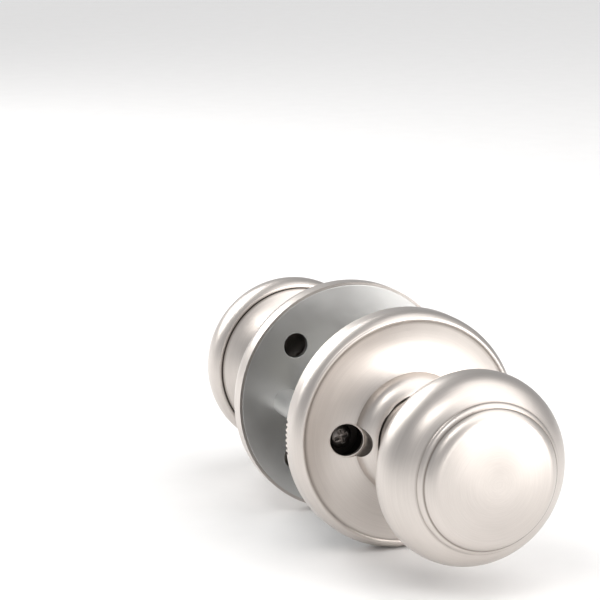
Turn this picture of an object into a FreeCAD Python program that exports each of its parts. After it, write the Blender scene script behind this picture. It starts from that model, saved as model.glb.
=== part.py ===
"""Passage door knob set: two round knobs on round roses, back to back through a door, in millimetres.

The knob axis is Y. The inside half, with the screw holes, faces -Y; the outside half faces +Y.
The origin is on the knob axis, halfway through the thinnest door. Z is up.
Each half is modelled standing up, with h measured out from the door face, and then turned into place.
"""

import math
import os

import FreeCAD
import Part

V = FreeCAD.Vector
UP = V(0, 0, 1)

# door
DOOR_THICKNESS = 35.0        # thinnest door the set clamps
POST_SPACING = 38.1          # between the two mounting screws

# rose: a pressed cover
ROSE_R = 33.3                # outer radius
ROSE_SHEET = 0.8
ROSE_SIDE_H = 3.4            # height of the straight side
SHOULDER_W, SHOULDER_H = 1.2, 7.0
CREASE_W, CREASE_H = 2.7, 7.3   # inner crease of the rounded rim
SHOULDER_CROWN, RIM_CROWN = 0.3, 0.36
BOSS_W = 4.7                 # from the neck out to where the dish meets the centre boss
BOSS_FOOT_H = 9.7
BOSS_TOP_H, BOSS_CROWN = 15.6, 1.3
DISH_SAG = 0.9               # how far the dish hangs below a straight cone
NOTCH_COUNT = 7              # plain grip notches on one side of the rim
NOTCH_W, NOTCH_H, NOTCH_DEPTH, NOTCH_PITCH_DEG = 0.75, 1.3, 0.35, 2.5

# knob
KNOB_R = 26.0                # largest radius
KNOB_R_H = 44.8              # height of the largest radius
KNOB_SHEET = 0.8
EDGE_IN, SHELL_EDGE_H = 1.4, 40.7    # the shell's rear edge, inward from the largest radius
HEM_IN, HEM_DROP = 0.75, 0.25
SEAM_GAP = 0.35              # the thin dark line between the back's rim and the shell's hem
STEP_IN, STEP_H = 6.0, 55.2  # crease where the body meets the narrow step
STEP_W, STEP_CROWN = 1.3, 0.32
FACE_H = 56.9                # crease where the step meets the domed face
DOME_EDGE_W, DOME_H, DOME_CROWN = 3.3, 59.5, 0.6
DOME_TOP_H = 61.4
NECK_WALL = 4.6              # from the shank out to the neck's face
NECK_FOOT_H = 14.8
NECK_TOP_H = 20.0
NECK_GAP = 0.35              # between the turning neck and the rose
FLARE_BULGE = 3.4            # how far the back hollows in from a straight cone
SEAT_RISE = 2.2              # from the shell's edge up to the core's rear flange

# drive
SHANK_R = 8.0
SHANK_TOP_H = 51.0
SHANK_TAIL_H = -9.6
DRIVE_R = 4.0                # half-round spindle
DRIVE_FLAT = 0.8             # flat's distance past the centre
DRIVE_GAP = 0.1
DRIVE_HOLE_H = 34.0          # depth of the D hole in the inside shank
SPINDLE_EXTERIOR_H = 20.0
SPINDLE_INTERIOR_H = 24.0
PIN_R, PIN_H = 1.2, 6.0
PIN_INSET = 0.4              # each end of the pin, in from the shank's surface
PIN_OFF_AXIS = 0.35          # share of the spindle's radius
PIN_GAP = 0.05

# chassis
PLATE_T = 1.6
PLATE_GAP = 0.05             # between the plate and the inside of the rose
BUSH_WALL = 1.1
BUSH_FLANGE_T = 1.0
BUSH_FOOT_H = 0.2
RUNNING_GAP = 0.08
COLLAR_WALL = 1.5
SCREW_SEAT_R, SCREW_SEAT_H = 5.4, 2.8
WINDOW_COUNT, WINDOW_R, WINDOW_AT = 4, 3.6, 23.0
CAGE_R, CAGE_WALL, CAGE_DEPTH, CAGE_FLOOR = 14.6, 1.4, 7.0, 1.2
CAGE_HOLE_GAP = 0.4

# return spring
WIRE_R = 0.55
COIL_R = 10.4
COIL_WHOLE_TURNS = 2
COIL_PITCH = 1.25
LEG_DEG = 17.0               # each leg's angle from the lowest point
SPRING_GAP = 0.1

# spring driver, washer and retaining ring
DRIVER_T = 1.0
DRIVER_GAP = 0.35
TAB_DEG, TAB_W, TAB_LEN, TAB_GAP = 11.0, 0.8, 1.7, 0.2
WASHER_T = 0.5
RING_T, RING_W, RING_GROOVE, RING_SLACK = 0.9, 2.2, 0.9, 0.02
AXIAL_PLAY = 0.15

# posts and screws
POST_R, POST_BORE_R, POST_LEN = 3.9, 2.15, 22.0
POST_STAKE_R, POST_STAKE_HEAD_R, POST_STAKE_T = 3.0, 4.2, 0.6
SCREW_R, SCREW_LEN, SCREW_TIP = 2.05, 32.0, 0.5
HEAD_R, HEAD_SIDE, HEAD_T = 3.4, 0.7, 2.3
SCREW_HOLE_R = 2.35
ACCESS_R, ACCESS_LIP, ACCESS_H, ACCESS_TILT_DEG = 4.4, 0.45, 8.3, 13.0
LIP_WIRE_R = 0.3
RECESS_W, RECESS_LEN, RECESS_DEPTH, RECESS_TURN_DEG = 0.95, 3.9, 1.6, 20.0

# knob core: a die-cast spool that carries the shell
CORE_WALL = 2.0
CORE_FACE_T, CORE_RIM_T = 2.0, 2.2
CORE_RIB_T, CORE_RIB_COUNT = 1.6, 6
CORE_HOLE_SHARE = 0.3        # lightening hole's radius as a share of the space between hub and rim
CORE_RIM_GAP = 0.6
FIT_GAP = 0.05

NECK_R = SHANK_R + NECK_WALL
BOSS_R = NECK_R + BOSS_W
SHELL_EDGE_R = KNOB_R - EDGE_IN
STEP_R = KNOB_R - STEP_IN
FACE_R = STEP_R - STEP_W
DOME_R = FACE_R - DOME_EDGE_W
HALF_DOOR = DOOR_THICKNESS / 2
POST_X = POST_SPACING / 2
DRIVER_H = -RUNNING_GAP * 4 - DRIVER_T
COLLAR_BORE_R = SHANK_R + RUNNING_GAP + BUSH_WALL
COLLAR_H = NECK_FOOT_H - AXIAL_PLAY - BUSH_FLANGE_T
CAGE_IN_R = CAGE_R - CAGE_WALL
CAGE_FLOOR_H = CAGE_FLOOR - CAGE_DEPTH
COIL_TURNS = COIL_WHOLE_TURNS + 2 * LEG_DEG / 360
RING_LOW = -CAGE_DEPTH - WASHER_T - AXIAL_PLAY - RING_T


def at(r, h):
    """A point of an outline: radius r, height h."""
    return V(r, 0, h)


def line(a, b):
    return Part.LineSegment(at(*a), at(*b)).toShape()


def arc(a, middle, b):
    return Part.Arc(at(*a), at(*middle), at(*b)).toShape()


def bowed(a, b, bulge):
    """An arc from a to b whose middle stands bulge to the left of the straight line."""
    dr, dh = b[0] - a[0], b[1] - a[1]
    long = math.hypot(dr, dh)
    middle = ((a[0] + b[0]) / 2 - dh / long * bulge, (a[1] + b[1]) / 2 + dr / long * bulge)
    return arc(a, middle, b)


def about_circle(a, b, centre):
    """An arc from a to b about centre, the short way round."""
    radius = math.hypot(a[0] - centre[0], a[1] - centre[1])
    mr, mh = (a[0] + b[0]) / 2 - centre[0], (a[1] + b[1]) / 2 - centre[1]
    grow = radius / math.hypot(mr, mh)
    return arc(a, (centre[0] + mr * grow, centre[1] + mh * grow), b)


def crown(edge, top_h):
    """A domed top: an arc from edge up to the axis at height top_h."""
    rise = top_h - edge[1]
    radius = (edge[0] ** 2 + rise ** 2) / (2 * rise)
    return about_circle(edge, (0, top_h), (0, top_h - radius))


def spun(face):
    return face.revolve(V(0, 0, 0), UP, 360)


def sheet(edges, thickness):
    """A spun sheet-metal shell, thickness to the inner side of an open outline."""
    return spun(Part.Wire(edges).makeOffset2D(thickness, 0, True, True, False))


def turned(points):
    """A solid of revolution from a closed outline of corners."""
    corners = [at(*p) for p in points]
    return spun(Part.Face(Part.makePolygon(corners + corners[:1])))


def tube(outer, inner, low, high):
    return turned([(inner, low), (outer, low), (outer, high), (inner, high)])


def rod(radius, low, high, x=0.0, y=0.0):
    return Part.makeCylinder(radius, high - low, V(x, y, low))


def sector(inner, outer, low, high, half_deg):
    """A block of a ring, centred on the lowest point (-Y before the half is turned)."""
    block = Part.makeCylinder(outer, high - low, V(0, 0, low), UP, 2 * half_deg)
    block.rotate(V(0, 0, 0), UP, -90 - half_deg)
    return block.cut(rod(inner, low, high))


def d_bar(radius, flat, low, high):
    """A half-round bar: a rod with one side cut flat."""
    side = Part.makeBox(2 * radius, 2 * radius, high - low, V(-radius, flat, low))
    return rod(radius, low, high).cut(side)


# the rose

def rose_outline():
    side_top = (ROSE_R, ROSE_SIDE_H)
    shoulder = (ROSE_R - SHOULDER_W, SHOULDER_H)
    crease = (ROSE_R - CREASE_W, CREASE_H)
    foot = (BOSS_R, BOSS_FOOT_H)
    return [
        line((ROSE_R, 0), side_top),
        bowed(side_top, shoulder, -SHOULDER_CROWN),
        bowed(shoulder, crease, -RIM_CROWN),
        bowed(crease, foot, DISH_SAG),
        bowed(foot, (NECK_R, BOSS_TOP_H), -BOSS_CROWN),
    ]


def rose_core():
    """The space under the rose's outer face, as a solid."""
    lip, inner, base = (NECK_R, BOSS_TOP_H), (NECK_R, 0), (ROSE_R, 0)
    space = spun(Part.Face(Part.Wire(rose_outline() + [line(lip, inner), line(inner, base)])))
    return space.cut(rod(NECK_R + NECK_GAP, 0, BOSS_TOP_H * 2))


def rose():
    shell = sheet(rose_outline(), ROSE_SHEET).cut(rod(NECK_R + NECK_GAP, 0, BOSS_TOP_H * 2))
    for i in range(NOTCH_COUNT):
        notch = Part.makeBox(NOTCH_DEPTH * 2, NOTCH_W, NOTCH_H, V(-ROSE_R - NOTCH_DEPTH, -NOTCH_W / 2, 0))
        notch.rotate(V(0, 0, 0), UP, (i - (NOTCH_COUNT - 1) / 2) * NOTCH_PITCH_DEG)
        shell = shell.cut(notch)
    return shell


def tilted_slab(x, low, high):
    """A slab between two heights above the lip of the screw hole at x, leaning as the lip does."""
    side = 2 * ROSE_R
    slab = Part.makeBox(side, side, high - low, V(-ROSE_R, -ROSE_R, low))
    slab.rotate(V(0, 0, 0), V(0, 1, 0), math.copysign(ACCESS_TILT_DEG, x))
    slab.translate(V(x, 0, ACCESS_H))
    return slab


def rose_with_access_holes():
    """Adds two round screw holes, each with a rolled lip pressed into the foot of the boss."""
    shell = rose()
    under = rose_core()
    pocket_r = ACCESS_R + ACCESS_LIP
    for x in (-POST_X, POST_X):
        tall = rod(pocket_r, 0, BOSS_TOP_H * 2, x)
        wall = rod(pocket_r + ROSE_SHEET, 0, BOSS_TOP_H, x).common(under)
        wall = wall.common(tilted_slab(x, -ROSE_SHEET, BOSS_TOP_H))
        lip = Part.makeTorus(ACCESS_R + LIP_WIRE_R, LIP_WIRE_R)
        lip.rotate(V(0, 0, 0), V(0, 1, 0), math.copysign(ACCESS_TILT_DEG, x))
        lip.translate(V(x, 0, ACCESS_H))
        shell = shell.fuse(wall).cut(tall.common(tilted_slab(x, 0, BOSS_TOP_H)))
        shell = shell.fuse(tall.common(tilted_slab(x, -ROSE_SHEET, 0))).fuse(lip)
        shell = shell.cut(rod(ACCESS_R, 0, BOSS_TOP_H * 2, x))
    return shell.removeSplitter()


# the knob

def knob_shell():
    widest = (KNOB_R, KNOB_R_H)
    edge = (SHELL_EDGE_R, SHELL_EDGE_H)
    back_rise = KNOB_R_H - SHELL_EDGE_H
    back_in = KNOB_R - SHELL_EDGE_R
    back_r = (back_in ** 2 + back_rise ** 2) / (2 * back_in)
    front_rise = STEP_H - KNOB_R_H
    front_in = KNOB_R - STEP_R
    front_r = (front_in ** 2 + front_rise ** 2) / (2 * front_in)
    return sheet([
        line((SHELL_EDGE_R - HEM_IN, SHELL_EDGE_H - HEM_DROP), edge),
        about_circle(edge, widest, (KNOB_R - back_r, KNOB_R_H)),
        about_circle(widest, (STEP_R, STEP_H), (KNOB_R - front_r, KNOB_R_H)),
        bowed((STEP_R, STEP_H), (FACE_R, FACE_H), -STEP_CROWN),
        bowed((FACE_R, FACE_H), (DOME_R, DOME_H), -DOME_CROWN),
        crown((DOME_R, DOME_H), DOME_TOP_H),
    ], KNOB_SHEET)


def knob_back():
    """Neck and flared back in one pressed piece; its rim sits inside the shell's hem."""
    foot_in, foot = (SHANK_R + FIT_GAP, NECK_FOOT_H), (NECK_R, NECK_FOOT_H)
    rim_r = SHELL_EDGE_R - HEM_IN - SEAM_GAP
    rim = (rim_r, SHELL_EDGE_H - HEM_DROP)
    seat = (rim_r, SHELL_EDGE_H + SEAT_RISE)
    return sheet([
        line(foot_in, foot),
        line(foot, (NECK_R, NECK_TOP_H)),
        bowed((NECK_R, NECK_TOP_H), rim, FLARE_BULGE),
        line(rim, seat),
    ], KNOB_SHEET)


def knob_core():
    face_top = FACE_H - KNOB_SHEET - FIT_GAP
    face_r = FACE_R - KNOB_SHEET
    rim_low = SHELL_EDGE_H + SEAT_RISE
    rim_r = KNOB_R - KNOB_SHEET - CORE_RIM_GAP
    bore_r, wall_r = SHANK_R + FIT_GAP, SHANK_R + CORE_WALL
    core = turned([
        (bore_r, NECK_TOP_H + 2), (wall_r, NECK_TOP_H + 2), (wall_r, rim_low), (rim_r, rim_low),
        (rim_r, rim_low + CORE_RIM_T), (wall_r, rim_low + CORE_RIM_T), (wall_r, face_top - CORE_FACE_T),
        (face_r, face_top - CORE_FACE_T), (face_r, face_top), (bore_r, face_top),
    ])
    for i in range(CORE_RIB_COUNT):
        rib = Part.makeBox(face_r - wall_r + 1, CORE_RIB_T, face_top - rim_low - 1,
                           V(wall_r - 1, -CORE_RIB_T / 2, rim_low + 0.5))
        hole_r = (rim_r - wall_r) * CORE_HOLE_SHARE
        hole = rod(hole_r, rim_low - 1, rim_low + CORE_RIM_T + 1, (rim_r + wall_r) / 2)
        rib.rotate(V(0, 0, 0), UP, i * 360 / CORE_RIB_COUNT)
        hole.rotate(V(0, 0, 0), UP, (i + 0.5) * 360 / CORE_RIB_COUNT)
        core = core.fuse(rib).cut(hole)
    return core.removeSplitter()


# the drive

def shank(hole_depth):
    bar = rod(SHANK_R, SHANK_TAIL_H, SHANK_TOP_H)
    hole = d_bar(DRIVE_R + DRIVE_GAP, DRIVE_FLAT + DRIVE_GAP, SHANK_TAIL_H, hole_depth)
    groove = tube(SHANK_R + 1, SHANK_R - RING_GROOVE, RING_LOW, RING_LOW + RING_T)
    return bar.cut(hole).cut(groove)


def cross_pin(gap):
    half_length = SHANK_R - PIN_INSET + 2 * gap
    pin = Part.makeCylinder(PIN_R + gap, 2 * half_length, V(-half_length, 0, PIN_H), V(1, 0, 0))
    pin.translate(V(0, -DRIVE_R * PIN_OFF_AXIS, 0))
    return pin


def spindle():
    return d_bar(DRIVE_R, DRIVE_FLAT, -DOOR_THICKNESS - SPINDLE_INTERIOR_H, SPINDLE_EXTERIOR_H)


def spring_driver():
    top = DRIVER_H + DRIVER_T
    disc = tube(CAGE_IN_R - DRIVER_GAP, SHANK_R + FIT_GAP, DRIVER_H, top)
    outer = CAGE_IN_R - DRIVER_GAP
    return disc.fuse(sector(outer - TAB_W, outer, DRIVER_H - TAB_LEN, top, TAB_DEG)).removeSplitter()


def retaining_ring():
    """An open ring snapped into the shank's groove; the gap lets it spring over the shank."""
    inner = SHANK_R - RING_GROOVE + FIT_GAP
    ring = tube(inner + RING_W, inner, RING_LOW + RING_SLACK, RING_LOW + RING_T - RING_SLACK)
    mouth = Part.makeBox(inner, inner * 2, RING_T * 3, V(-inner / 2, 0, RING_LOW - RING_T))
    return ring.cut(mouth)


# the chassis

def chassis_plate(hole_r, seats):
    plate_r = ROSE_R - ROSE_SHEET - PLATE_GAP
    plate = turned([
        (COLLAR_BORE_R, 0), (plate_r, 0), (plate_r, PLATE_T), (COLLAR_BORE_R + COLLAR_WALL, PLATE_T),
        (COLLAR_BORE_R + COLLAR_WALL, COLLAR_H), (COLLAR_BORE_R, COLLAR_H),
    ])
    for x in (-POST_X, POST_X):
        if seats:
            plate = plate.fuse(rod(SCREW_SEAT_R, 0, SCREW_SEAT_H, x))
    for x in (-POST_X, POST_X):
        plate = plate.cut(rod(hole_r, 0, SCREW_SEAT_H, x))
    for i in range(WINDOW_COUNT):
        angle = math.radians((i + 0.5) * 360 / WINDOW_COUNT)
        x, y = WINDOW_AT * math.cos(angle), WINDOW_AT * math.sin(angle)
        plate = plate.cut(rod(WINDOW_R, 0, PLATE_T, x, y))
    return plate.cut(rod(COLLAR_BORE_R, 0, COLLAR_H)).removeSplitter()


def bushing():
    bore = SHANK_R + RUNNING_GAP
    body_r = COLLAR_BORE_R - FIT_GAP
    flange_r = COLLAR_BORE_R + COLLAR_WALL
    return turned([
        (bore, BUSH_FOOT_H), (body_r, BUSH_FOOT_H), (body_r, COLLAR_H), (flange_r, COLLAR_H),
        (flange_r, COLLAR_H + BUSH_FLANGE_T), (bore, COLLAR_H + BUSH_FLANGE_T),
    ])


def spring_cage():
    hole_r = SHANK_R + CAGE_HOLE_GAP
    cup = turned([
        (hole_r, -CAGE_DEPTH), (CAGE_R, -CAGE_DEPTH), (CAGE_R, 0), (CAGE_IN_R, 0),
        (CAGE_IN_R, CAGE_FLOOR_H), (hole_r, CAGE_FLOOR_H),
    ])
    lug_in = CAGE_IN_R - DRIVER_GAP - TAB_W
    lug_top = DRIVER_H - TAB_LEN - TAB_GAP
    lug = sector(lug_in, CAGE_IN_R + CAGE_WALL / 2, CAGE_FLOOR_H - CAGE_FLOOR / 2, lug_top, TAB_DEG)
    return cup.fuse(lug).removeSplitter()


def return_spring():
    """A coil whose two upright legs straddle both the cage's lug and the driver's tab."""
    low = CAGE_FLOOR_H + WIRE_R + SPRING_GAP
    top = DRIVER_H - SPRING_GAP
    rise = COIL_TURNS * COIL_PITCH
    leg_r = CAGE_IN_R - DRIVER_GAP - TAB_W / 2
    start = -90 - LEG_DEG
    profile = Part.Wire(Part.makeCircle(WIRE_R, V(COIL_R, 0, 0), V(0, 1, 0)))
    helix = Part.Wire(Part.makeHelix(COIL_PITCH, rise, COIL_R).Edges)
    spring = helix.makePipeShell([profile], True, True)
    spring.rotate(V(0, 0, 0), UP, start)
    spring.translate(V(0, 0, low))
    for degrees, h in ((start, low), (start + 360 * COIL_TURNS, low + rise)):
        turn = math.radians(degrees)
        out = V(math.cos(turn), math.sin(turn), 0)
        bend, foot = out * COIL_R + V(0, 0, h), out * leg_r
        spring = spring.fuse(Part.makeSphere(WIRE_R, bend))
        spring = spring.fuse(Part.makeCylinder(WIRE_R, leg_r - COIL_R, bend, out))
        spring = spring.fuse(rod(WIRE_R, low - WIRE_R, top, foot.x, foot.y))
    return spring.removeSplitter()


def thrust_washer():
    return tube(CAGE_R - 2.0, SHANK_R + CAGE_HOLE_GAP, -CAGE_DEPTH - WASHER_T, -CAGE_DEPTH)


# the fastenings

def post(x):
    """A threaded post staked into the outside plate."""
    column = turned([
        (POST_BORE_R, -POST_LEN), (POST_R, -POST_LEN), (POST_R, 0), (POST_STAKE_R, 0),
        (POST_STAKE_R, PLATE_T), (POST_STAKE_HEAD_R, PLATE_T),
        (POST_STAKE_R, PLATE_T + POST_STAKE_T), (POST_BORE_R, PLATE_T + POST_STAKE_T),
    ])
    column.translate(V(x, 0, 0))
    return column


def mounting_screw(x):
    """A machine screw with a domed head and a cross recess, seated on the inside plate."""
    top = SCREW_SEAT_H + HEAD_T
    tip = SCREW_SEAT_H - SCREW_LEN
    head = spun(Part.Face(Part.Wire([
        line((0, tip), (SCREW_R - SCREW_TIP, tip)),
        line((SCREW_R - SCREW_TIP, tip), (SCREW_R, tip + SCREW_TIP)),
        line((SCREW_R, tip + SCREW_TIP), (SCREW_R, SCREW_SEAT_H)),
        line((SCREW_R, SCREW_SEAT_H), (HEAD_R, SCREW_SEAT_H)),
        line((HEAD_R, SCREW_SEAT_H), (HEAD_R, SCREW_SEAT_H + HEAD_SIDE)),
        crown((HEAD_R, SCREW_SEAT_H + HEAD_SIDE), top), line((0, top), (0, tip)),
    ])))
    for turn in (RECESS_TURN_DEG, RECESS_TURN_DEG + 90):
        corner = V(-RECESS_LEN / 2, -RECESS_W / 2, top - RECESS_DEPTH)
        slot = Part.makeBox(RECESS_LEN, RECESS_W, RECESS_DEPTH, corner)
        slot.rotate(V(0, 0, 0), UP, turn)
        head = head.cut(slot)
    head.translate(V(x, 0, 0))
    return head


def placed(shape, exterior):
    """Turns a piece from standing up to facing out of its side of the door."""
    solid = shape.copy()
    solid.rotate(V(0, 0, 0), V(1, 0, 0), 90)
    solid.translate(V(0, -HALF_DOOR, 0))
    if exterior:
        solid.rotate(V(0, 0, 0), UP, 180)
    return solid


def half_set(exterior):
    """The pieces that both halves have."""
    drive = shank(DRIVE_HOLE_H)
    return {
        "knob_shell": knob_shell(),
        "knob_back": knob_back(),
        "knob_core": knob_core(),
        "shank": drive.cut(cross_pin(PIN_GAP)) if exterior else drive,
        "spring_driver": spring_driver(),
        "retaining_ring": retaining_ring(),
        "rose": rose() if exterior else rose_with_access_holes(),
        "chassis_plate": chassis_plate(POST_STAKE_R if exterior else SCREW_HOLE_R, not exterior),
        "bushing": bushing(),
        "spring_cage": spring_cage(),
        "return_spring": return_spring(),
        "thrust_washer": thrust_washer(),
    }


pieces = {
    "spindle": placed(spindle().cut(cross_pin(PIN_GAP)), True),
    "spindle_pin": placed(cross_pin(0), True),
    "post_left": placed(post(POST_X), True),
    "post_right": placed(post(-POST_X), True),
    "mounting_screw_left": placed(mounting_screw(-POST_X), False),
    "mounting_screw_right": placed(mounting_screw(POST_X), False),
}
for side in ("exterior", "interior"):
    is_exterior = side == "exterior"
    for name, shape in half_set(is_exterior).items():
        pieces[f"{side}_{name}"] = placed(shape, is_exterior)

os.makedirs("parts", exist_ok=True)
for name, shape in pieces.items():
    solid = shape if shape.ShapeType == "Solid" else Part.makeCompound(shape.Solids)
    print(name, "valid" if solid.isValid() else "NOT VALID", len(solid.Solids))
    solid.exportStep(f"parts/{name}.step")
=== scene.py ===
"""A passage door knob set in satin nickel, standing on its two rose rims. Metres, knob axis along Y."""

import math

import bmesh
import bpy
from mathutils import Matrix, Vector


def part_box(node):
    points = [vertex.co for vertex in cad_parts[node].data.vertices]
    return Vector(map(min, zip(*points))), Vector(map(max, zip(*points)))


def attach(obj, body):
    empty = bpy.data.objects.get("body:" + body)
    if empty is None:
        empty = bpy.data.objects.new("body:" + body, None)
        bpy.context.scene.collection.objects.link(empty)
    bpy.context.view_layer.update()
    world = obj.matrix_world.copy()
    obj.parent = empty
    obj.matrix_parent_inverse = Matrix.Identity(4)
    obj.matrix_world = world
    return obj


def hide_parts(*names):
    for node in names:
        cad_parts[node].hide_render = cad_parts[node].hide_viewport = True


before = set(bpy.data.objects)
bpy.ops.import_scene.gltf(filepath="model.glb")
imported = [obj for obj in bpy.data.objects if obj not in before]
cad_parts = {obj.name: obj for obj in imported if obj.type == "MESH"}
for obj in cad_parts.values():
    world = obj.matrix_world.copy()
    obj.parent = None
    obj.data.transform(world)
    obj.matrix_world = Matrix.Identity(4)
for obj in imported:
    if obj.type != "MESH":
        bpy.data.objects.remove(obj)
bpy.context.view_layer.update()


# Camera and floor.
# The set is seen from the inside face of the door, a little from the left and from above.
# It stands on the lowest point of its two round roses, as it does on a bench.

rose_low, rose_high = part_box("interior_rose")
door_face = rose_high.y
look_az, look_el, look_distance = math.radians(-24.4), math.radians(15.2), 0.667
toward_camera = Vector((
    math.sin(look_az) * math.cos(look_el), -math.cos(look_az) * math.cos(look_el), math.sin(look_el)))
camera_right = Vector((math.cos(look_az), math.sin(look_az), 0))
camera_up = toward_camera.cross(camera_right)
knob_foot = Vector((0, door_face, 0))
aim = knob_foot - camera_right * 0.0274 + camera_up * 0.0342

camera = bpy.data.objects.new("camera", bpy.data.cameras.new("camera"))
bpy.context.scene.collection.objects.link(camera)
camera.data.lens, camera.data.sensor_width = 145.6, 36.0
camera.data.clip_start = 0.01
camera.location = knob_foot + toward_camera * look_distance
camera.rotation_mode = "QUATERNION"
camera.rotation_quaternion = (aim - camera.location).to_track_quat("-Z", "Y")
bpy.context.scene.camera = camera


def new_material(name):
    """An empty node material with its output and Principled shader."""
    material = bpy.data.materials.new(name)
    material.use_nodes = True
    return material, material.node_tree, material.node_tree.nodes["Principled BSDF"]


def add(tree, kind, inputs=(), **settings):
    """A node with its settings, and its inputs given as values or as the sockets that feed them."""
    node = tree.nodes.new(kind)
    for key, value in settings.items():
        setattr(node, key, value)
    for key, value in dict(inputs).items():
        if isinstance(value, bpy.types.NodeSocket):
            tree.links.new(value, node.inputs[key])
        else:
            node.inputs[key].default_value = value
    return node


def feed(tree, node, **sockets):
    """Links or sets named inputs; an underscore stands for a space."""
    for key, value in sockets.items():
        target = node.inputs[key.replace("_", " ")]
        if isinstance(value, bpy.types.NodeSocket):
            tree.links.new(value, target)
        else:
            target.default_value = value


def link_mesh(name, mesh, material):
    piece = bpy.data.objects.new(name, mesh)
    bpy.context.scene.collection.objects.link(piece)
    mesh.materials.append(material)
    return piece


floor_size = 6.0
floor_mesh = bpy.data.meshes.new("floor")
floor_mesh.from_pydata(
    [(x * floor_size, y * floor_size, rose_low.z) for x, y in ((-1, -1), (1, -1), (1, 1), (-1, 1))],
    [], [(0, 1, 2, 3)])
bench, tree, shader = new_material("pale_bench")
speckle = add(tree, "ShaderNodeTexNoise", {"Scale": 900.0, "Detail": 3.0})
bench_tone = add(tree, "ShaderNodeValToRGB", {"Fac": speckle.outputs["Fac"]})
bench_tone.color_ramp.elements[0].color = (0.84, 0.84, 0.84, 1)
bench_tone.color_ramp.elements[1].color = (0.88, 0.88, 0.88, 1)
feed(tree, shader, Base_Color=bench_tone.outputs["Color"], Roughness=0.85)
link_mesh("floor", floor_mesh, bench)


# Lights.
# A broad soft ceiling that leans to the right, with soft boxes front right, top left and
# behind to the left, which brightens the rims. The room is an even pale grey.

def soft_box(name, place, size, power, tint=(1, 1, 1)):
    light = bpy.data.lights.new(name, "AREA")
    light.shape, light.size, light.size_y = "RECTANGLE", size[0], size[1]
    light.energy, light.color = power, tint
    box = bpy.data.objects.new(name, light)
    bpy.context.scene.collection.objects.link(box)
    box.location = place
    box.rotation_mode = "QUATERNION"
    box.rotation_quaternion = (knob_foot - box.location).to_track_quat("-Z", "Y")


soft_box("key_right", Vector((0.38, -0.60, 0.22)), (0.45, 0.28), 3.0, (1.0, 0.975, 0.95))
soft_box("top_left", Vector((-0.42, -0.40, 0.75)), (0.30, 0.30), 1.5, (1.0, 0.97, 0.94))
soft_box("back_left", Vector((-0.36, 0.62, 0.50)), (0.60, 0.60), 5.0, (1.0, 0.99, 0.97))

ceiling = bpy.data.objects.new("ceiling_light", bpy.data.lights.new("ceiling_light", "SUN"))
bpy.context.scene.collection.objects.link(ceiling)
ceiling.data.energy, ceiling.data.angle = 1.7, math.radians(70)
ceiling.data.color = (1.0, 0.98, 0.96)
ceiling.rotation_euler = (math.radians(18), math.radians(28), 0)

room = bpy.data.worlds.new("room")
room.use_nodes = True
room.node_tree.nodes["Background"].inputs["Color"].default_value = (0.97, 0.98, 1.0, 1)
room.node_tree.nodes["Background"].inputs["Strength"].default_value = 0.42
bpy.context.scene.world = room
bpy.context.scene.view_settings.view_transform = "Standard"


# Roses.
# Each is a disc of thin steel pressed into a rounded rim, a shallow dish and a centre boss, then
# plated in satin nickel and brushed while it turns. The inside one has two rolled screw holes.

def node_group(name, inputs, outputs):
    """An empty shader group. Inputs are name: default; outputs are name: kind."""
    group = bpy.data.node_groups.new(name, "ShaderNodeTree")
    for key, value in inputs.items():
        kind = "NodeSocketVector" if isinstance(value, tuple) else "NodeSocketFloat"
        group.interface.new_socket(name=key, in_out="INPUT", socket_type=kind).default_value = value
    for key, kind in outputs.items():
        group.interface.new_socket(name=key, in_out="OUTPUT", socket_type=kind)
    return group, group.nodes.new("NodeGroupInput").outputs, group.nodes.new("NodeGroupOutput")


def maths(tree, operation, *values):
    node = tree.nodes.new("ShaderNodeMath")
    node.operation = operation
    for socket, value in zip(node.inputs, values):
        if isinstance(value, bpy.types.NodeSocket):
            tree.links.new(value, socket)
        else:
            socket.default_value = value
    return node.outputs[0]


def axis_parts(tree):
    """Radius from the knob axis, distance along it from the door's middle, and the two side directions."""
    place = add(tree, "ShaderNodeTexCoord").outputs["Object"]
    split = add(tree, "ShaderNodeSeparateXYZ", {"Vector": place}).outputs
    radius = maths(tree, "SQRT", maths(tree, "ADD", maths(tree, "MULTIPLY", split["X"], split["X"]),
                                       maths(tree, "MULTIPLY", split["Z"], split["Z"])))
    safe = maths(tree, "MAXIMUM", radius, 0.004)
    side_x = maths(tree, "DIVIDE", split["X"], safe)
    side_z = maths(tree, "DIVIDE", split["Z"], safe)
    return radius, split["Y"], side_x, side_z


turned_lines, given, made = node_group(
    "turned_lines", {"Lines per m": 6000.0, "Breaks": 2.5, "Depth": 0.15},
    {"Tone": "NodeSocketFloat", "Off centre": "NodeSocketFloat", "Normal": "NodeSocketVector"})
radius, along, side_x, side_z = axis_parts(turned_lines)
line_place = add(turned_lines, "ShaderNodeCombineXYZ", {
    "X": maths(turned_lines, "MULTIPLY", radius, given["Lines per m"]),
    "Y": maths(turned_lines, "MULTIPLY", along, given["Lines per m"]),
    "Z": maths(turned_lines, "MULTIPLY", side_x, given["Breaks"])})
lines = add(turned_lines, "ShaderNodeTexNoise", {
    "Vector": line_place.outputs[0], "W": maths(turned_lines, "MULTIPLY", side_z, given["Breaks"]),
    "Scale": 1.0, "Detail": 4.0, "Roughness": 0.65}, noise_dimensions="4D")
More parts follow.
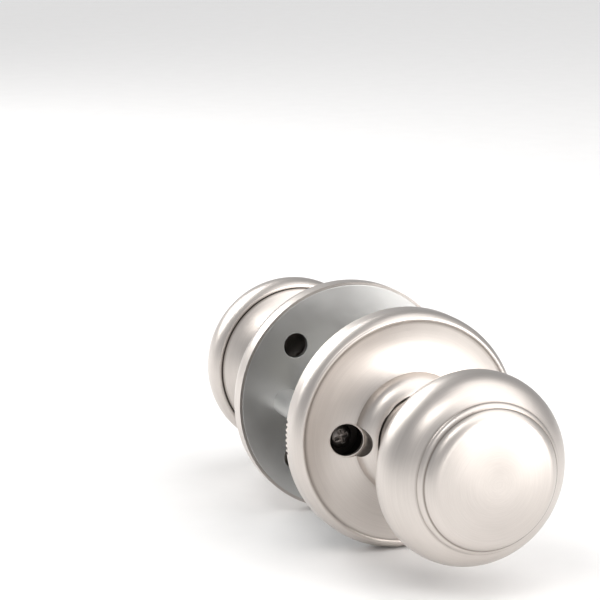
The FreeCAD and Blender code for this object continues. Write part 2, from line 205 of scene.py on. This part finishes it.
# The brushing fades out at the axis, and the face turns square to it over the last few millimetres.
off_centre = add(turned_lines, "ShaderNodeMapRange", {"Value": radius, "From Min": 0.001, "From Max": 0.010})
scratch = add(turned_lines, "ShaderNodeBump", {
    "Height": lines.outputs["Fac"], "Distance": 0.00005,
    "Strength": maths(turned_lines, "MULTIPLY", off_centre.outputs["Result"], given["Depth"])})
outward = add(turned_lines, "ShaderNodeCombineXYZ", {"Y": maths(turned_lines, "SIGN", along)})
crest = add(turned_lines, "ShaderNodeMapRange", {"Value": radius, "From Min": 0.0012, "From Max": 0.0075},
            interpolation_type="SMOOTHSTEP")
crested = turned_lines.nodes.new("ShaderNodeMix")
crested.data_type = "VECTOR"
turned_lines.links.new(crest.outputs["Result"], crested.inputs[0])
turned_lines.links.new(outward.outputs[0], crested.inputs[4])
turned_lines.links.new(add(turned_lines, "ShaderNodeNewGeometry").outputs["Normal"], crested.inputs[5])
turned_lines.links.new(crested.outputs[1], scratch.inputs["Normal"])
turned_lines.links.new(off_centre.outputs["Result"], made.inputs["Off centre"])
turned_lines.links.new(lines.outputs["Fac"], made.inputs["Tone"])
turned_lines.links.new(scratch.outputs["Normal"], made.inputs["Normal"])

# Painted shade: a mask that is 1 along one circle of the profile (a radius and a height) and fades out over
# its width; it darkens creases where shade falls.
painted_crease_shade, given, made = node_group(
    "painted_crease_shade", {"Radius": 0.02, "Height": 0.05, "Width": 0.0008}, {"Mask": "NodeSocketFloat"})
radius, along, side_x, side_z = axis_parts(painted_crease_shade)
off_r = maths(painted_crease_shade, "SUBTRACT", radius, given["Radius"])
off_h = maths(painted_crease_shade, "SUBTRACT", maths(painted_crease_shade, "ABSOLUTE", along), given["Height"])
away = maths(painted_crease_shade, "SQRT", maths(painted_crease_shade, "ADD", maths(painted_crease_shade, "MULTIPLY", off_r, off_r),
                                        maths(painted_crease_shade, "MULTIPLY", off_h, off_h)))
near = add(painted_crease_shade, "ShaderNodeMapRange", {
    "Value": away, "From Min": 0.0, "From Max": given["Width"], "To Min": 1.0, "To Max": 0.0},
    interpolation_type="SMOOTHSTEP")
painted_crease_shade.links.new(near.outputs["Result"], made.inputs["Mask"])

handling, given, made = node_group(
    "handling", {"Scale": 60.0, "Amount": 0.5}, {"Smudge": "NodeSocketFloat", "Cloud": "NodeSocketFloat"})
place = add(handling, "ShaderNodeTexCoord").outputs["Object"]
smudge = add(handling, "ShaderNodeTexNoise", {
    "Vector": place, "Scale": given["Scale"], "Detail": 5.0, "Roughness": 0.6, "Distortion": 0.6})
spots = add(handling, "ShaderNodeMapRange", {
    "Value": smudge.outputs["Fac"], "From Min": 0.45, "From Max": 0.75, "To Max": given["Amount"]})
cloud = add(handling, "ShaderNodeTexNoise", {"Vector": place, "Scale": 22.0, "Detail": 2.0})
handling.links.new(spots.outputs["Result"], made.inputs["Smudge"])
handling.links.new(cloud.outputs["Fac"], made.inputs["Cloud"])


def use(tree, group, **inputs):
    node = tree.nodes.new("ShaderNodeGroup")
    node.node_tree = group
    feed(tree, node, **inputs)
    return node.outputs


def tint(tree, factor, low, high):
    """A colour between low and high."""
    mix = tree.nodes.new("ShaderNodeMix")
    mix.data_type = "RGBA"
    tree.links.new(factor, mix.inputs[0])
    for socket, value in ((mix.inputs[6], low), (mix.inputs[7], high)):
        if isinstance(value, bpy.types.NodeSocket):
            tree.links.new(value, socket)
        else:
            socket.default_value = (*value, 1)
    return mix.outputs[2]


def satin_nickel(name, creases, roughness):
    """Brushed nickel plate, with painted shade darkening its creases. Creases are (radius, height above the
    door face, width, darkness).
    """
    material, tree, shader = new_material(name)
    brushing = use(tree, turned_lines, Lines_per_m=5200.0, Breaks=1.6, Depth=0.22)
    touch = use(tree, handling, Scale=70.0, Amount=0.6)
    colour = tint(tree, brushing["Tone"], (0.54, 0.50, 0.47), (0.71, 0.665, 0.63))
    colour = tint(tree, maths(tree, "MULTIPLY", touch["Cloud"], 0.12), colour, (0.80, 0.73, 0.66))
    # Painted shade: each crease is tinted towards dark brown by its darkness.
    for radius, height, width, darkness in creases:
        shade_line = use(tree, painted_crease_shade, Radius=radius, Height=abs(door_face) + height, Width=width)
        colour = tint(tree, maths(tree, "MULTIPLY", shade_line["Mask"], darkness), colour, (0.16, 0.13, 0.11))
    rough = maths(tree, "ADD", roughness, maths(tree, "MULTIPLY", touch["Smudge"], 0.05))
    rough = maths(tree, "ADD", rough, maths(tree, "MULTIPLY", brushing["Tone"], 0.06))
    feed(tree, shader, Base_Color=colour, Metallic=1.0, Roughness=rough, Normal=brushing["Normal"],
         Anisotropic=maths(tree, "MULTIPLY", brushing["Off centre"], 0.45))
    around = add(tree, "ShaderNodeTangent", direction_type="RADIAL", axis="Y")
    tree.links.new(around.outputs[0], shader.inputs["Tangent"])
    return material


def finish_node(name, material):
    """Gives a CAD piece its real finish."""
    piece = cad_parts[name]
    piece.data.materials.clear()
    piece.data.materials.append(material)


halves = ("exterior", "interior")
# The rim's crease and the foot of the boss get painted shade.
rim_crease = (0.0306, 0.0073, 0.0009, 0.5)
boss_foot = (0.0173, 0.0097, 0.0012, 0.2)
rose_nickel = satin_nickel("rose_nickel", (rim_crease, boss_foot), 0.34)
for half in halves:
    finish_node(f"{half}_rose", rose_nickel)


# Knobs.
# A drawn shell with a rounded step and a shallow domed face, hemmed over a flared back with a
# neck. Both are steel, nickel plated and brushed round the axis in a lathe.

# The face's edge, the step, the hem on shell and back, and the foot of the neck get painted shade.
face_crease = (0.0187, 0.0569, 0.0006, 0.75)
step_crease = (0.0200, 0.0552, 0.0007, 0.35)
hem_on_shell = (0.02385, 0.04045, 0.0006, 0.8)
hem_on_back = (0.0235, 0.04045, 0.0008, 0.8)
neck_foot = (0.0126, 0.0156, 0.0010, 0.5)
knob_nickel = satin_nickel("knob_nickel", (face_crease, step_crease, hem_on_shell), 0.34)
back_nickel = satin_nickel("back_nickel", (hem_on_back, neck_foot), 0.32)
for half in halves:
    finish_node(f"{half}_knob_shell", knob_nickel)
    finish_node(f"{half}_knob_back", back_nickel)


# Steel works: plates, spring cages, shanks, drivers, posts, spindle and pin.
# Pressed or turned mild steel with a bright zinc plate, faintly yellow and blue where it clouds,
# worn bare along its edges.

edge_wear, given, made = node_group(
    "edge_wear", {"Width": 0.0003, "Break-up": 900.0},
    {"Mask": "NodeSocketFloat", "Normal": "NodeSocketVector"})
rounded = add(edge_wear, "ShaderNodeBevel", {"Radius": given["Width"]}, samples=4)
flat = add(edge_wear, "ShaderNodeNewGeometry").outputs["Normal"]
agree = add(
    edge_wear, "ShaderNodeVectorMath", {0: rounded.outputs["Normal"], 1: flat}, operation="DOT_PRODUCT")
edge = add(edge_wear, "ShaderNodeMapRange", {
    "Value": agree.outputs["Value"], "From Min": 0.995, "From Max": 0.85, "To Min": 0.0, "To Max": 1.0})
place = add(edge_wear, "ShaderNodeTexCoord").outputs["Object"]
broken = add(edge_wear, "ShaderNodeTexNoise", {"Vector": place, "Scale": given["Break-up"], "Detail": 3.0})
worn = maths(edge_wear, "MULTIPLY", edge.outputs["Result"], broken.outputs["Fac"])
edge_wear.links.new(worn, made.inputs["Mask"])
edge_wear.links.new(rounded.outputs["Normal"], made.inputs["Normal"])


def plated_steel(name, low, high, bare, roughness, metallic=1.0, lines=3500.0, depth=0.3):
    """Plated or coated steel: a clouded tone, turned lines, and bare metal on worn edges."""
    material, tree, shader = new_material(name)
    machining = use(tree, turned_lines, Lines_per_m=lines, Breaks=0.7, Depth=depth)
    touch = use(tree, handling, Scale=240.0, Amount=0.8)
    wear = use(tree, edge_wear, Width=0.0002)
    colour = tint(tree, touch["Cloud"], low, high)
    colour = tint(tree, maths(tree, "MULTIPLY", wear["Mask"], 0.9), colour, bare)
    rough = maths(tree, "ADD", roughness, maths(tree, "MULTIPLY", touch["Smudge"], 0.06))
    normal = add(tree, "ShaderNodeBump", {
        "Height": machining["Tone"], "Strength": depth, "Distance": 0.00004, "Normal": wear["Normal"]})
    feed(tree, shader, Base_Color=colour, Metallic=metallic, Roughness=rough, Normal=normal.outputs[0])
    return material


zinc = plated_steel("bright_zinc", (0.68, 0.69, 0.70), (0.74, 0.735, 0.71), (0.84, 0.84, 0.84), 0.36)
# Painted shade: the inside chassis plate is near black, standing in for the shade of the cavity seen through
# the rose's hole; the outside plate, the same part, stays bright zinc.
cavity_shade_steel = plated_steel(
    "painted_shade_dark_plate", (0.035, 0.031, 0.029), (0.075, 0.066, 0.060), (0.35, 0.33, 0.31), 0.42, 0.8, 2500.0)
finish_node("interior_chassis_plate", cavity_shade_steel)
finish_node("exterior_chassis_plate", zinc)
for half in halves:
    for name in ("spring_cage", "shank", "spring_driver"):
        finish_node(f"{half}_{name}", zinc)
for name in ("spindle", "post_left", "post_right"):
    finish_node(name, zinc)


# Springs and retaining rings.
# Hard-drawn spring wire and stamped spring steel, blued by its heat treatment and left oiled.

spring_steel = plated_steel(
    "oiled_spring_steel", (0.16, 0.16, 0.18), (0.30, 0.28, 0.26), (0.6, 0.6, 0.6), 0.22, 1.0, 9000.0, 0.2)
for half in halves:
    for name in ("return_spring", "retaining_ring"):
        finish_node(f"{half}_{name}", spring_steel)
finish_node("spindle_pin", spring_steel)


# Knob cores.
# Each is a zinc die casting, pressed on the shank inside the shell, with a grainy grey skin.

core_cast, tree, shader = new_material("die_cast_zinc")
place = add(tree, "ShaderNodeTexCoord").outputs["Object"]
grain = add(tree, "ShaderNodeTexNoise", {"Vector": place, "Scale": 1800.0, "Detail": 6.0})
wear = use(tree, edge_wear, Width=0.0004)
flow = use(tree, handling, Scale=90.0, Amount=1.0)
skin = add(tree, "ShaderNodeBump", {
    "Height": grain.outputs["Fac"], "Strength": 0.5, "Distance": 0.00008, "Normal": wear["Normal"]})
feed(tree, shader, Metallic=0.9,
     Roughness=maths(tree, "ADD", 0.42, maths(tree, "MULTIPLY", flow["Smudge"], 0.15)),
     Base_Color=tint(tree, flow["Cloud"], (0.33, 0.33, 0.35), (0.48, 0.47, 0.46)),
     Normal=skin.outputs[0])
for half in halves:
    finish_node(f"{half}_knob_core", core_cast)


# Bushes and thrust washers.
# Moulded from natural nylon, milky and a little greasy, with a fine spark-eroded texture.

nylon, tree, shader = new_material("natural_nylon")
place = add(tree, "ShaderNodeTexCoord").outputs["Object"]
texture = add(tree, "ShaderNodeTexNoise", {"Vector": place, "Scale": 2600.0, "Detail": 4.0})
grease = use(tree, handling, Scale=160.0, Amount=1.0)
feed(tree, shader, Roughness=maths(tree, "SUBTRACT", 0.5, maths(tree, "MULTIPLY", grease["Smudge"], 0.25)),
     Base_Color=tint(tree, grease["Cloud"], (0.72, 0.70, 0.62), (0.84, 0.82, 0.76)),
     Normal=add(tree, "ShaderNodeBump", {"Height": texture.outputs["Fac"], "Strength": 0.25,
                                         "Distance": 0.00003}).outputs[0])
for half in halves:
    for name in ("bushing", "thrust_washer"):
        finish_node(f"{half}_{name}", nylon)


# Fixing screws.
# Two machine screws with domed heads and a cross recess, rolled threads, in dark phosphate.
# They clamp the inside plate and run into the posts.

screw_steel = plated_steel(
    "screw_phosphate", (0.20, 0.18, 0.17), (0.30, 0.275, 0.26), (0.60, 0.58, 0.55), 0.36, 1.0, 2500.0)
thread_pitch, thread_depth, threads_from, thread_run_in = 0.0007, 0.00028, 0.006, 0.001
shank_r, tip_chamfer = 0.00205, 0.0005
head_height, head_side, head_edge = 0.0023, 0.0007, 0.00012
recess_reach, recess_half_width, recess_depth, recess_turn = 0.00195, 0.00052, 0.0017, math.radians(20)
round_count, dome_steps, steps_per_pitch = 96, 56, 6


def cross_recess_depth(x, y):
    """How deep the recess is at a point of the head, in metres; zero outside it."""
    u = x * math.cos(recess_turn) + y * math.sin(recess_turn)
    v = y * math.cos(recess_turn) - x * math.sin(recess_turn)
    arm, across = max(abs(u), abs(v)), min(abs(u), abs(v))
    if arm > recess_reach or across > recess_half_width:
        return 0.0
    return recess_depth * (1 - 0.45 * math.hypot(u, v) / recess_reach)


def screw_mesh(name, low, high):
    """Low and high are the screw's box; its head faces -Y."""
    centre_x, centre_z = (low.x + high.x) / 2, (low.z + high.z) / 2
    head_r = (high.x - low.x) / 2
    seat = low.y + head_height
    mesh = bmesh.new()
    rings = []

    def ring(radius_at, y_at):
        row = []
        for k in range(round_count):
            angle = 2 * math.pi * k / round_count
            r = radius_at(angle)
            x, z = centre_x + r * math.cos(angle), centre_z + r * math.sin(angle)
            row.append(mesh.verts.new((x, y_at(angle, r), z)))
        rings.append(row)

    rise = head_height - head_side
    dome_r = (head_r ** 2 + rise ** 2) / (2 * rise)

    def dome_y(r):
        return low.y + dome_r - math.sqrt(dome_r ** 2 - r * r)

    def driven_y(angle, r):
        return dome_y(r) + cross_recess_depth(r * math.cos(angle), r * math.sin(angle))

    for k in range(1, dome_steps + 1):
        ring(lambda a, r=head_r * 0.97 * k / dome_steps: r, driven_y)
    ring(lambda a: head_r, lambda a, q: dome_y(head_r) + 0.0001)
    ring(lambda a: head_r, lambda a, q: seat - head_edge)
    ring(lambda a: head_r - head_edge, lambda a, q: seat)
    ring(lambda a: shank_r, lambda a, q: seat)
    y = seat + 0.0002
    while y < high.y - tip_chamfer - 0.0001:
        def thread_r(a, y=y):
            turns = (y - seat) / thread_pitch + a / (2 * math.pi)
            wave = abs((turns % 1.0) * 2 - 1)
            ramp = min(1.0, max(0.0, (y - seat - threads_from) / thread_run_in))
            return shank_r - thread_depth * ramp * wave
        ring(thread_r, lambda a, q, y=y: y)
        y += thread_pitch / steps_per_pitch
    ring(lambda a: shank_r - tip_chamfer, lambda a, q: high.y)
    for upper, lower in zip(rings, rings[1:]):
        for k in range(len(upper)):
            after = (k + 1) % round_count
            mesh.faces.new((upper[k], upper[after], lower[after], lower[k]))
    centre = mesh.verts.new((centre_x, low.y + cross_recess_depth(0, 0), centre_z))
    tip = mesh.verts.new((centre_x, high.y, centre_z))
    for k in range(round_count):
        after = (k + 1) % round_count
        mesh.faces.new((centre, rings[0][after], rings[0][k]))
        mesh.faces.new((tip, rings[-1][k], rings[-1][after]))
    bmesh.ops.recalc_face_normals(mesh, faces=mesh.faces)
    data = bpy.data.meshes.new(name)
    mesh.to_mesh(data)
    mesh.free()
    for polygon in data.polygons:
        polygon.use_smooth = True
    data.set_sharp_from_angle(angle=math.radians(35))
    return data


for side in ("left", "right"):
    cad_screw = f"mounting_screw_{side}"
    screw = link_mesh(f"threaded_screw_{side}", screw_mesh(cad_screw, *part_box(cad_screw)), screw_steel)
    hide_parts(cad_screw)
    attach(screw, "interior_housing")
